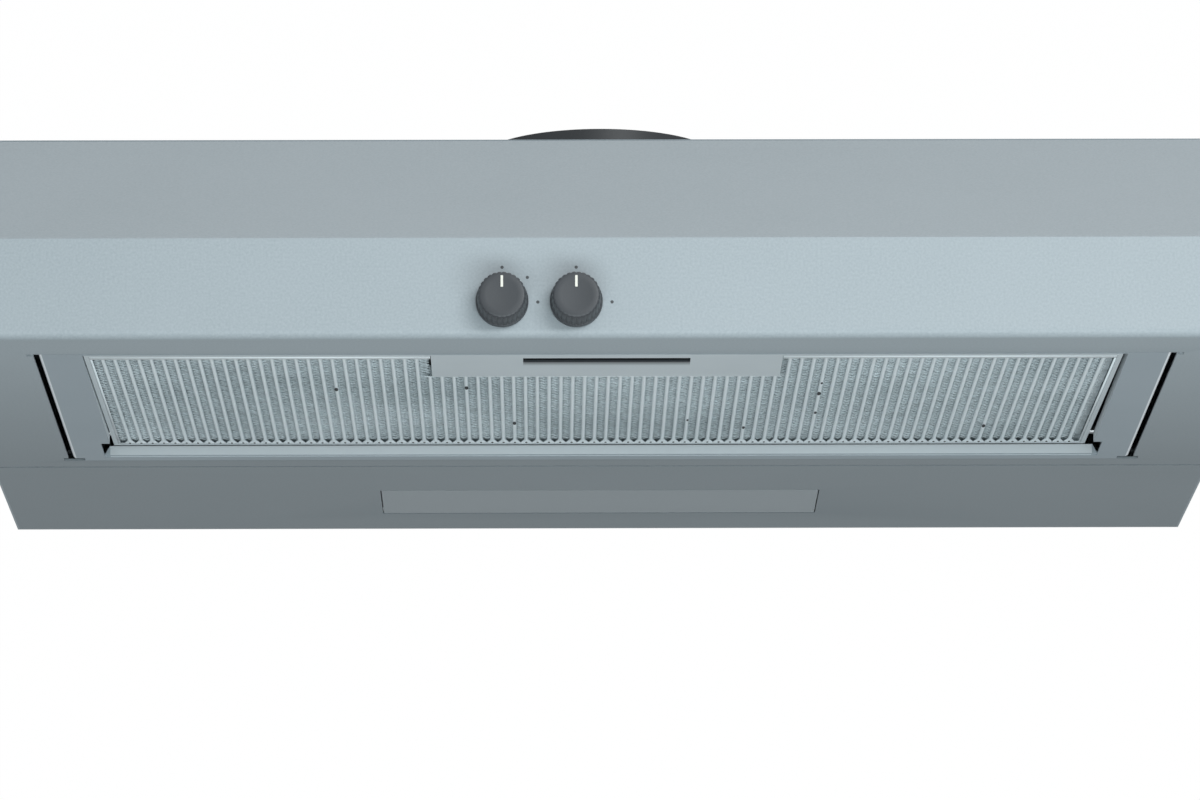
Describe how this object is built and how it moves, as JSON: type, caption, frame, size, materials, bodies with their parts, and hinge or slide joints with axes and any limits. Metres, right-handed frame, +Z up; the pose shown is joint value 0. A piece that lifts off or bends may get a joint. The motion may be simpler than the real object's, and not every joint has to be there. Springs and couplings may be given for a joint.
{
  "type": "under cabinet range hood",
  "caption": "Slim under cabinet range hood with a sloping front, ribbed pull-down grease filter, two round knobs, a blower and a round duct collar on top.",
  "frame": {"origin": "centre of the cabinet screw pattern, on the top face of the casing", "axes": "+X along the width, -Y out of the front, +Y to the wall, +Z up into the cabinet"},
  "size_m": [0.598, 0.4659, 0.17],
  "materials": {
    "silver_paint": "satin silver-grey paint",
    "galvanised_steel": "galvanised sheet",
    "filter_aluminium": "satin anodised",
    "mesh_aluminium": "expanded mesh",
    "bright_steel": "bright zinc",
    "knob_plastic": "dark grey moulded",
    "shaft_plastic": "natural nylon",
    "switch_plastic": "black moulded",
    "impeller_steel": "galvanised strip",
    "collar_plastic": "grey-black moulded",
    "motor_paint": "dark grey motor can",
    "electrical_steel": "stacked laminations",
    "rubber": "black rubber",
    "foam": "closed-cell foam",
    "lamp_white": "white enamel",
    "holder_plastic": "ivory heat-resistant",
    "bulb_brass": "plain",
    "bulb_glass": "clear glass",
    "lens_plastic": "frosted diffuser",
    "capacitor_plastic": "white can"
  },
  "bodies": {
    "casing": {"top_panel": "silver_paint", "sloping_front": "silver_paint", "left_end_panel": "silver_paint", "right_end_panel": "silver_paint", "back_panel": "galvanised_steel", "bottom_pan": "silver_paint", "filter_surround": "silver_paint", "rear_underside_panel": "silver_paint", "filter_hinge_brackets": "galvanised_steel", "fan_speed_switch": "switch_plastic", "light_switch": "switch_plastic", "switch_nuts": "bright_steel", "blower_scroll": "galvanised_steel", "inlet_cover": "galvanised_steel", "discharge_box": "galvanised_steel", "blower_spacers": "bright_steel", "blower_bolts": "bright_steel", "cover_screws": "bright_steel", "motor_mounts": "rubber", "motor_upper_cup": "motor_paint", "motor_lower_cup": "motor_paint", "motor_bearings": "bright_steel", "motor_stator": "electrical_steel", "duct_collar": "collar_plastic", "collar_seal": "foam", "collar_screws": "bright_steel", "left_damper_pin": "bright_steel", "right_damper_pin": "bright_steel", "lamp_housing": "lamp_white", "lamp_holders": "holder_plastic", "bulb_caps": "bulb_brass", "light_bulbs": "bulb_glass", "lamp_cover_pin": "bright_steel", "terminal_box": "switch_plastic", "terminal_box_lid": "switch_plastic", "terminal_block": "holder_plastic", "cable_grommet": "rubber", "run_capacitor": "capacitor_plastic", "capacitor_clip": "galvanised_steel"},
    "filter": {"filter_frame": "filter_aluminium", "filter_grille": "filter_aluminium", "filter_mesh": "mesh_aluminium", "filter_back_screen": "mesh_aluminium", "handle_tab": "filter_aluminium", "latch_guides": "bright_steel", "latch_springs": "bright_steel", "filter_hinge_pins": "bright_steel"},
    "latch": {"latch_slider": "switch_plastic"},
    "fan_knob": {"fan_speed_knob": "knob_plastic", "fan_speed_knob_shaft": "shaft_plastic"},
    "lamp_knob": {"light_knob": "knob_plastic", "light_knob_shaft": "shaft_plastic"},
    "fan": {"impeller": "impeller_steel", "impeller_blades": "impeller_steel", "impeller_ring": "impeller_steel", "motor_rotor": "electrical_steel", "motor_shaft": "bright_steel"},
    "left_flap": {"left_damper_flap": "collar_plastic"},
    "right_flap": {"right_damper_flap": "collar_plastic"},
    "lamp_lens": {"lamp_cover": "lens_plastic"}
  },
  "joints": [
    {"name": "filter_swing", "type": "hinge", "parent": "casing", "child": "filter", "pos_m": [0, -0.04626, -0.12013], "axis": [1, 0, 0], "range_deg": [0, 70]},
    {"name": "latch_pull", "type": "slide", "parent": "filter", "child": "latch", "axis": [0, 0.9998, 0.0215], "range_m": [0, 0.005], "stiffness_N_per_m": 300, "springref_m": -0.003, "deforming": ["latch_springs"]},
    {"name": "fan_knob_turn", "type": "hinge", "parent": "casing", "child": "fan_knob", "pos_m": [-0.0468, -0.308, -0.11375], "axis": [0, 1, 0], "range_deg": [0, 135]},
    {"name": "light_knob_turn", "type": "hinge", "parent": "casing", "child": "lamp_knob", "pos_m": [-0.0134, -0.308, -0.11375], "axis": [0, 1, 0], "range_deg": [0, 90]},
    {"name": "fan_spin", "type": "hinge", "parent": "casing", "child": "fan", "pos_m": [-0.17, 0, -0.03], "axis": [0, 0, -1], "continuous": true},
    {"name": "left_flap_lift", "type": "hinge", "parent": "casing", "child": "left_flap", "pos_m": [-0.004, 0.045, 0.008], "axis": [0, 1, 0], "range_deg": [0, 80]},
    {"name": "right_flap_lift", "type": "hinge", "parent": "casing", "child": "right_flap", "pos_m": [0.004, 0.045, 0.008], "axis": [0, -1, 0], "range_deg": [0, 80]},
    {"name": "lamp_lens_swing", "type": "hinge", "parent": "casing", "child": "lamp_lens", "pos_m": [0, 0.107, -0.1275], "axis": [1, 0, 0], "range_deg": [0, 75]}
  ]
}
